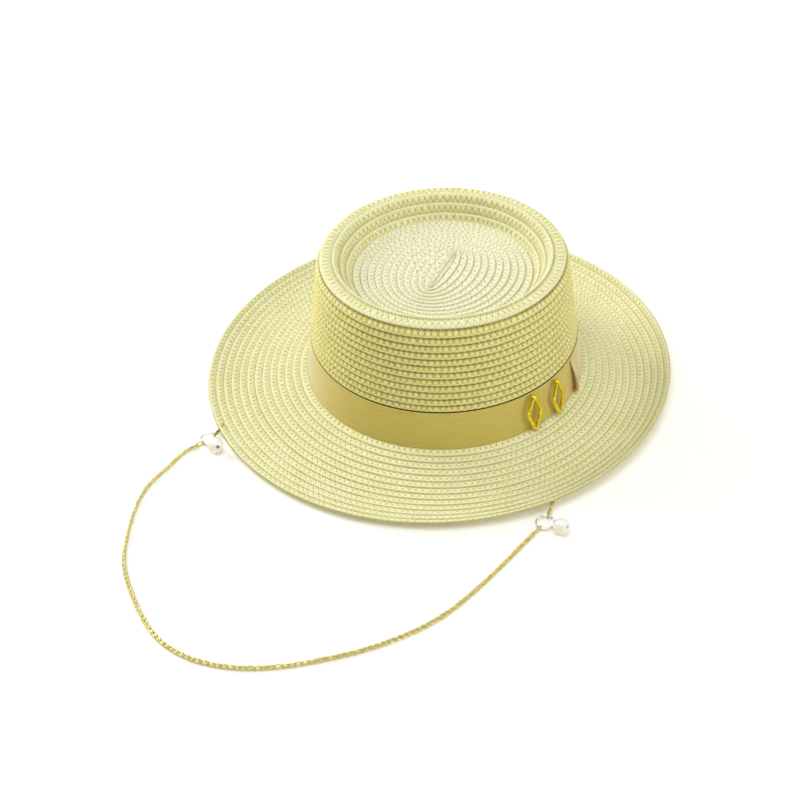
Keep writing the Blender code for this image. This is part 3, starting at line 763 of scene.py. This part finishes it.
bm = bmesh.new()
bmesh.ops.create_grid(bm, x_segments=40, y_segments=28, size=0.5)
uv = bm.loops.layers.uv.new("UVMap")
for face in bm.faces:
    for loop in face.loops:
        loop[uv].uv = (loop.vert.co.x * JOIN_LENGTH, loop.vert.co.y * RIBBON_WIDTH)
for vert in bm.verts:
    along = vert.co.x + 0.5
    across = vert.co.y + 0.5
    bow = sin(pi * across ** 0.48)
    lift = JOIN_LIFT * max(0.0, 1.0 - along / JOIN_LIFTED_SHARE) ** 2 * bow
    turn = radians(JOIN_TURN) + JOIN_LENGTH * along / (CROWN_FOOT_HALF_WIDTH + RIBBON_OUTSIDE)
    vert.co = band_point(turn, FOOT_LEVEL + RIBBON_WIDTH * across, JOIN_STAND_OFF + lift)
bmesh.ops.recalc_face_normals(bm, faces=bm.faces)
bmesh.ops.solidify(bm, geom=bm.faces[:], thickness=JOIN_THICKNESS)
# The lap's back faces, seen inside the bowed-out fold, take an orange-brown satin: painted shade for the
# inside of the fold
for face in bm.faces:
    if face.normal.x < -0.5:
        face.material_index = 1
lap = finish_piece("ribbon_lap", bm, SATIN, ["band_join"])
lap.data.materials.append(
    satin_material("ribbon_fold_painted_shade", (0.98, 0.55, 0.14, 1), (0.90, 0.46, 0.09, 1)))


# Gold ornaments
# Two open lozenges bent from round rod and gold plated, each on two short posts through the ribbon.

# In degrees, from the front toward the wearer's left
ORNAMENT_TURNS = {"front": 60.5, "rear": 74.0}
ORNAMENT_HEIGHT = 29.0 * MM
ORNAMENT_WIDTH = 13.5 * MM
ORNAMENT_ROD = 2.7 * MM
ORNAMENT_CORNER = 3.2 * MM
ORNAMENT_STAND_OFF = 3.2 * MM
ORNAMENT_POST = 1.4 * MM


def metal_material(name, colour, shade, roughness, metallic=1.0):
    """Plated metal with a slightly uneven polish and the plating darker in places."""
    material, tree, shader = new_material(name)
    place = add_node(tree, "TexCoord").outputs["Object"]
    cloud = add_node(tree, "TexNoise", in_Vector=place, in_Scale=420.0, in_Detail=3.0)
    tree.links.new(mix_colour(tree, ramp(tree, cloud.outputs["Fac"], 0.35, 0.75), colour, shade),
                   shader.inputs["Base Color"])
    tree.links.new(calc(tree, "MULTIPLY_ADD", cloud.outputs["Fac"], 0.14, roughness - 0.07),
                   shader.inputs["Roughness"])
    shader.inputs["Metallic"].default_value = metallic
    return material


GOLD = metal_material("gold_plate", (0.97, 0.82, 0.09, 1), (0.84, 0.62, 0.03, 1), 0.22)


def wire_piece(name, points, diameter, material, nodes):
    """A closed loop of round wire along a list of points."""
    curve = bpy.data.curves.new(name, "CURVE")
    curve.dimensions = "3D"
    curve.bevel_depth = diameter / 2
    curve.bevel_resolution = 3
    curve.materials.append(material)
    spline = curve.splines.new("POLY")
    spline.points.add(len(points) - 1)
    for place, point in zip(spline.points, points):
        place.co = (*point, 1.0)
    spline.use_cyclic_u = True
    spline.use_smooth = True
    piece = bpy.data.objects.new(name, curve)
    bpy.context.collection.objects.link(piece)
    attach(piece, "root")
    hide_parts(*nodes)


half_width = (ORNAMENT_WIDTH - ORNAMENT_ROD) / 2
half_height = (ORNAMENT_HEIGHT - ORNAMENT_ROD) / 2
corners = ((half_width, 0), (0, half_height), (-half_width, 0), (0, -half_height))
corners = [Vector(corner) for corner in corners]
for name, degrees_round in ORNAMENT_TURNS.items():
    turn = radians(degrees_round)
    middle = band_point(turn, FOOT_LEVEL + RIBBON_WIDTH / 2, 0.0)
    face = (band_point(turn, FOOT_LEVEL + RIBBON_WIDTH / 2, 1.0) - middle).normalized()
    sideways = Vector((cos(turn), sin(turn), 0.0))
    upward = face.cross(sideways)
    path = []
    for index, corner in enumerate(corners):
        before = (corners[index - 1] - corner).normalized() * ORNAMENT_CORNER
        after = (corners[(index + 1) % 4] - corner).normalized() * ORNAMENT_CORNER
        for step in range(9):
            t = step / 8
            spot = corner + before * (1 - t) ** 2 + after * t ** 2
            path.append(middle + sideways * spot.x + upward * spot.y + face * ORNAMENT_STAND_OFF)
    wire_piece(f"ornament_{name}_rod", path, ORNAMENT_ROD, GOLD, [f"ornament_{name}"])
    bm = bmesh.new()
    top = half_height - ORNAMENT_CORNER * 0.45
    length = ORNAMENT_STAND_OFF - GAP
    turned = face.to_track_quat("Z", "Y").to_matrix().to_4x4()
    for end in (1, -1):
        foot = middle + upward * (top * end) + face * GAP
        bmesh.ops.create_cone(bm, cap_ends=True, segments=16, radius1=ORNAMENT_POST / 2,
                              radius2=ORNAMENT_POST / 2, depth=length,
                              matrix=Matrix.Translation(foot + face * length / 2) @ turned)
    finish_piece(f"ornament_{name}_posts", bm, GOLD, [])


# Rings and pearls
# Thin silver rings of round wire, and drilled pearls on headed pins that hook on the rings.

RING_DIAMETER = 12.3 * MM
RING_WIRE = 1.0 * MM
LINK_WIRE = 0.9 * MM
PEARL_DIAMETER = 10.0 * MM
PIN_WIRE = 0.7 * MM
BORE_GAP = 0.15 * MM
RING_SIDES = 12
RING_STEPS = 56
PEARL_STEPS = 48
SILVER = metal_material("silver_plate", (0.86, 0.87, 0.88, 1), (0.70, 0.71, 0.73, 1), 0.18)


def pearl_material(name):
    """Smooth pearl, a little greyer where it turns away, under a clear coat."""
    material, tree, shader = new_material(name)
    place = add_node(tree, "TexCoord").outputs["Object"]
    cloud = add_node(tree, "TexNoise", in_Vector=place, in_Scale=260.0, in_Detail=2.0)
    edge = add_node(tree, "LayerWeight", in_Blend=0.35)
    skin = mix_colour(tree, cloud.outputs["Fac"], (0.99, 0.98, 0.95, 1), (0.96, 0.96, 0.96, 1))
    skin = mix_colour(tree, edge.outputs["Facing"], skin, (0.90, 0.89, 0.87, 1))
    tree.links.new(skin, shader.inputs["Base Color"])
    bump = add_node(tree, "Bump", in_Strength=0.08, in_Distance=0.05 * MM, in_Height=cloud.outputs["Fac"])
    tree.links.new(bump.outputs[0], shader.inputs["Normal"])
    shader.inputs["Roughness"].default_value = 0.16
    shader.inputs["Coat Weight"].default_value = 0.6
    shader.inputs["Coat Roughness"].default_value = 0.08
    return material


PEARL = pearl_material("pearl_skin")


def spin_round(profile, steps):
    """Turns a closed profile of (radius, height) once round the Z axis."""
    bm = bmesh.new()
    verts = [bm.verts.new((radius, 0.0, height)) for radius, height in profile]
    edges = [bm.edges.new((verts[index - 1], verts[index])) for index in range(len(verts))]
    bmesh.ops.spin(bm, geom=verts + edges, axis=(0, 0, 1), cent=(0, 0, 0), angle=2 * pi, steps=steps,
                   use_merge=True)
    return bm


ring_centres = {}
for side in ("left", "right"):
    low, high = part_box(f"ring_{side}")
    centre = (low + high) / 2
    ring_centres[side] = centre
    wire = circle(((RING_DIAMETER - RING_WIRE) / 2, 0.0), RING_WIRE / 2, RING_SIDES)
    bm = spin_round(wire, RING_STEPS)
    bmesh.ops.translate(bm, verts=bm.verts, vec=centre)
    finish_piece(f"silver_ring_{side}", bm, SILVER, [f"ring_{side}"])

    low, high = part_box(f"pearl_{side}")
    pearl_centre = (low + high) / 2
    towards = pearl_centre - centre
    bore = PIN_WIRE / 2 + BORE_GAP
    lean = degrees(asin(bore / (PEARL_DIAMETER / 2)))
    bm = spin_round(arc((0.0, 0.0), PEARL_DIAMETER / 2, -90.0 + lean, 90.0 - lean, 30), PEARL_STEPS)
    flat = Vector((towards.x, towards.y, 0.0)).normalized()
    eye = centre + flat * (RING_DIAMETER - RING_WIRE) / 2
    axis = (pearl_centre - eye).normalized()
    turned = axis.to_track_quat("Z", "Y").to_matrix().to_4x4()
    bmesh.ops.transform(bm, matrix=Matrix.Translation(pearl_centre) @ turned, verts=bm.verts)
    finish_piece(f"pearl_bead_{side}", bm, PEARL, [f"pearl_{side}"])


# Short chains
# Five small gold links on each side join the brim to the ring: the last one runs through a hole
# near the brim's edge, and the first one round the ring's wire.

STUB_LINKS = 5
STUB_LINK_WIDTH = 2.7 * MM
BRIM_LINK_WIDTH = 5.0 * MM
BRIM_LINK_RISE = 1.0 * MM
STUB_END_CORNERS = 12
LINK_SIDES = 6
LINK_STEPS = 16
LINK_GOLD = metal_material("link_gold", (0.93, 0.82, 0.34, 1), (0.74, 0.58, 0.10, 1), 0.26)
# A darker, rougher gold for the inner side of each link's wire: painted shade where the wire faces into the
# link
INSIDE_GOLD_SHADE = metal_material("link_gold_inside_shade", (0.66, 0.56, 0.16, 1), (0.48, 0.38, 0.07, 1), 0.40)


def link_mesh(name, length, width, wire, twist):
    """One link along X, with the length and width of its centre line, twisted toward its ends."""
    bm = spin_round(circle((1.0, 0.0), wire / 2, LINK_SIDES), LINK_STEPS)
    for face in bm.faces:
        # Faces on the inner side of the wire take the second material, the darker gold of painted shade
        middle = face.calc_center_median()
        face.material_index = 1 if hypot(middle.x, middle.y) < 1.0 - 0.15 * wire else 0
    for vert in bm.verts:
        angle = atan2(vert.co.y, vert.co.x)
        outward = hypot(vert.co.x, vert.co.y) - 1.0
        along = length / 2 * copysign(abs(cos(angle)) ** 0.85, cos(angle))
        across = width / 2 * copysign(abs(sin(angle)) ** 0.7, sin(angle))
        facing = Vector((cos(angle) * width, sin(angle) * length)).normalized()
        x = along + facing.x * outward
        y = across + facing.y * outward
        z = vert.co.z
        turned = radians(twist) * max(min(2 * along / length, 1.0), -1.0)
        vert.co = (x, y * cos(turned) - z * sin(turned), y * sin(turned) + z * cos(turned))
    bmesh.ops.recalc_face_normals(bm, faces=bm.faces)
    link = bpy.data.meshes.new(name)
    bm.to_mesh(link)
    bm.free()
    return link


def add_link(bm, link, centre, tangent, roll):
    """Adds a link at a place, rolled about the way it runs."""
    flat = Vector((0, 0, 1)).cross(tangent).normalized()
    raised = tangent.cross(flat)
    sideways = flat * cos(roll) + raised * sin(roll)
    matrix = Matrix((tangent, sideways, tangent.cross(sideways))).transposed().to_4x4()
    matrix.translation = centre
    before = len(bm.verts)
    bm.from_mesh(link)
    bm.verts.ensure_lookup_table()
    bmesh.ops.transform(bm, matrix=matrix, verts=bm.verts[before:])


# The links run between the two ends of the stub in the part
for side, centre in ring_centres.items():
    spots = [vert.co.copy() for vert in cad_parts[f"stub_{side}"].data.vertices]
    spots.sort(key=lambda spot: (spot - centre).length)
    near = sum(spots[:STUB_END_CORNERS], Vector()) / STUB_END_CORNERS
    far = sum(spots[-STUB_END_CORNERS:], Vector()) / STUB_END_CORNERS
    far.z += BRIM_LINK_RISE
    axis = (far - near).normalized()
    pitch = ((far - near).length - 2 * LINK_WIRE) / STUB_LINKS
    bm = bmesh.new()
    for number in range(STUB_LINKS):
        width = BRIM_LINK_WIDTH if number == STUB_LINKS - 1 else STUB_LINK_WIDTH
        link = link_mesh("stub_link", pitch + LINK_WIRE, width - LINK_WIRE, LINK_WIRE, 0.0)
        add_link(bm, link, near + axis * (LINK_WIRE + pitch * (number + 0.5)), axis, pi / 2 * (number + 1))
    stub = finish_piece(f"stub_links_{side}", bm, LINK_GOLD, [f"stub_{side}"])
    stub.data.materials.append(INSIDE_GOLD_SHADE)

for node, metal in (("chain_end", LINK_GOLD), ("pearl_pin", SILVER)):
    for side in ("left", "right"):
        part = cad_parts[f"{node}_{side}"]
        part.data.materials.clear()
        part.data.materials.append(metal)


# Chain
# A gold curb chain: oval links of round wire, each one twisted so that the chain lies flat.

CHAIN_WIDTH = 3.1 * MM
CHAIN_WIRE = 1.4 * MM
CHAIN_PITCH = 3.7 * MM
LINK_TWIST = 50.0
END_LINK_LENGTH = 3.4 * MM
LINK_RADIUS = GAP + RING_WIRE / 2 + LINK_WIRE / 2
LINK_LEVEL = 1.45 * MM
LINK_ROLL_RISE = 0.45 * MM
ROLLED_FROM = 0.55
# Where the chain lies, in mm, from the wearer's right to the left
CHAIN_ROUTE = [
    (-121.9, -139.0), (-124.8, -157.0), (-127.0, -171.0), (-126.6, -184.0), (-123.5, -198.0),
    (-118.0, -214.0), (-110.5, -231.0), (-103.0, -243.0), (-92.0, -255.5), (-75.0, -271.0),
    (-60.0, -281.5), (-44.0, -287.5), (-26.0, -289.0), (-5.0, -285.2), (17.0, -275.2),
    (42.6, -257.2), (60.7, -240.8), (76.0, -222.3), (86.5, -204.0), (94.5, -182.0),
    (101.2, -159.0), (106.0, -140.0),
]


def smooth_line(points, steps):
    """Points on a smooth curve through the given points."""
    last = len(points) - 1
    places = []
    for index in range(last):
        p0, p1, p2, p3 = (points[min(max(index + k, 0), last)] for k in (-1, 0, 1, 2))
        for step in range(steps):
            t = step / steps
            bend = 2 * p1 + (p2 - p0) * t + (2 * p0 - 5 * p1 + 4 * p2 - p3) * t ** 2
            places.append((bend + (3 * p1 - p0 - 3 * p2 + p3) * t ** 3) / 2)
    places.append(points[-1].copy())
    return places


route = [Vector((x * MM, y * MM, CHAIN_WIDTH / 2)) for x, y in CHAIN_ROUTE]
for side in ("right", "left"):
    towards = route[0] if side == "right" else route[-1]
    heading = Vector((towards.x - ring_centres[side].x, towards.y - ring_centres[side].y, 0.0)).normalized()
    start = ring_centres[side] + heading * ((RING_DIAMETER - RING_WIRE) / 2)
    start += heading * (END_LINK_LENGTH + LINK_RADIUS - LINK_WIRE / 2 - CHAIN_WIRE / 2)
    start.z = ring_centres[side].z
    if side == "right":
        route.insert(0, start)
    else:
        route.append(start)
line = smooth_line(route, 16)
ways = [0.0]
for before, after in zip(line, line[1:]):
    ways.append(ways[-1] + (after - before).length)
count = round((ways[-1] - CHAIN_PITCH - CHAIN_WIRE) / CHAIN_PITCH) + 1
pitch = (ways[-1] - CHAIN_WIRE) / count
first_way = (pitch + CHAIN_WIRE) / 2
link = link_mesh("chain_link", pitch + CHAIN_WIRE, CHAIN_WIDTH - CHAIN_WIRE, CHAIN_WIRE, LINK_TWIST)

bm = bmesh.new()
index = 0
for number in range(count):
    target = first_way + number * pitch
    while index < len(ways) - 2 and ways[index + 1] < target:
        index += 1
    share = (target - ways[index]) / (ways[index + 1] - ways[index])
    centre = line[index].lerp(line[index + 1], share)
    tangent = (line[index + 1] - line[index]).normalized()
    # The links lie flat in front, and roll on their edges where the chain runs from front to back
    sway = 8 * sin(number * 1.7) + 5 * sin(number * 0.6)
    roll = radians(sway + 70 * max(0.0, abs(tangent.y) - ROLLED_FROM) / (1 - ROLLED_FROM))
    centre.z = min(centre.z, LINK_LEVEL + LINK_ROLL_RISE * abs(sin(roll)))
    add_link(bm, link, centre, tangent, roll)
CHAIN_GOLD = metal_material("chain_gold", (0.98, 0.96, 0.66, 1), (0.90, 0.86, 0.42, 1), 0.34, 0.4)
# A darker, rougher, less metallic gold for the inner side of each link's wire: painted shade inside the
# links
CHAIN_INSIDE_SHADE = metal_material("chain_gold_inside_shade", (0.78, 0.72, 0.34, 1), (0.60, 0.53, 0.18, 1), 0.4, 0.6)
chain = finish_piece("chain_links", bm, CHAIN_GOLD, ["chain"])
chain.data.materials.append(CHAIN_INSIDE_SHADE)


# Floor
# The pale surface that the hat stands on. It looks near white, and throws warm light up at the straw.

FLOOR_HALF_WIDTH = 1.8

bm = bmesh.new()
bmesh.ops.create_grid(bm, x_segments=1, y_segments=1, size=FLOOR_HALF_WIDTH)
ground = place_mesh("floor", bm)
paper, tree, shader = new_material("pale_floor")
seen = add_node(tree, "LightPath").outputs["Is Camera Ray"]
tree.links.new(mix_colour(tree, seen, (0.95, 0.89, 0.66, 1), (0.95, 0.95, 0.95, 1)),
               shader.inputs["Base Color"])
shader.inputs["Roughness"].default_value = 0.8
shader.inputs["Emission Color"].default_value = (1.0, 0.98, 0.92, 1)
shader.inputs["Emission Strength"].default_value = 0.12
ground.data.materials.append(paper)


# Light
# Large soft lamps to the left, to the right and above, in a room that is white overhead and warm
# toward the floor. The camera sees the room as plain white.

world = bpy.data.worlds.new("room")
world.use_nodes = True
room = world.node_tree
direction = add_node(room, "TexCoord")
split = add_node(room, "SeparateXYZ", in_0=direction.outputs["Generated"])
raised = calc(room, "MULTIPLY_ADD", split.outputs[1], 0.35, split.outputs[2])
overhead = ramp(room, raised, -0.3, 0.9, 0.16, 0.50)
seen = add_node(room, "LightPath").outputs["Is Camera Ray"]
warmth = calc(room, "MAXIMUM", ramp(room, raised, -0.2, 0.7), seen)
room.links.new(mix_colour(room, warmth, (1.0, 0.90, 0.28, 1), (1.0, 1.0, 1.0, 1)),
               room.nodes["Background"].inputs[0])
room.links.new(calc(room, "MAXIMUM", overhead, seen), room.nodes["Background"].inputs[1])
bpy.context.scene.world = world
bpy.context.scene.view_settings.view_transform = "Standard"


def add_lamp(name, place, aim, size, power):
    """A square lamp that faces a point."""
    lamp = bpy.data.lights.new(name, "AREA")
    lamp.shape = "SQUARE"
    lamp.size = size
    lamp.energy = power
    item = bpy.data.objects.new(name, lamp)
    item.location = place
    item.rotation_euler = (Vector(aim) - Vector(place)).to_track_quat("-Z", "Y").to_euler()
    bpy.context.collection.objects.link(item)


add_lamp("left_lamp", (-1.55, 0.25, 0.75), (0.0, 0.0, 0.05), 0.8, 16.3)
add_lamp("right_lamp", (1.4, 0.1, 0.7), (0.0, 0.0, 0.05), 0.8, 6.0)
add_lamp("top_lamp", (0.0, -0.45, 1.95), (0.0, 0.0, 0.0), 1.4, 17.5)


# Camera
# The photograph's viewpoint, found by fitting the hat's outline: in front, a little to the
# wearer's left, looking down at the hat.

camera_data = bpy.data.cameras.new("camera")
camera_data.sensor_width = 36.0
camera_data.lens = 70.43
camera = bpy.data.objects.new("camera", camera_data)
right = Vector((0.9156, 0.4009, -0.0320)).normalized()
back = Vector((0.3287, -0.7001, 0.6339)).normalized()
up = back.cross(right).normalized()
right = up.cross(back)
pose = Matrix((right, up, back)).transposed().to_4x4()
pose.translation = Vector((324.1, -763.0, 655.1)) * MM
camera.matrix_world = pose
bpy.context.collection.objects.link(camera)
bpy.context.scene.camera = camera
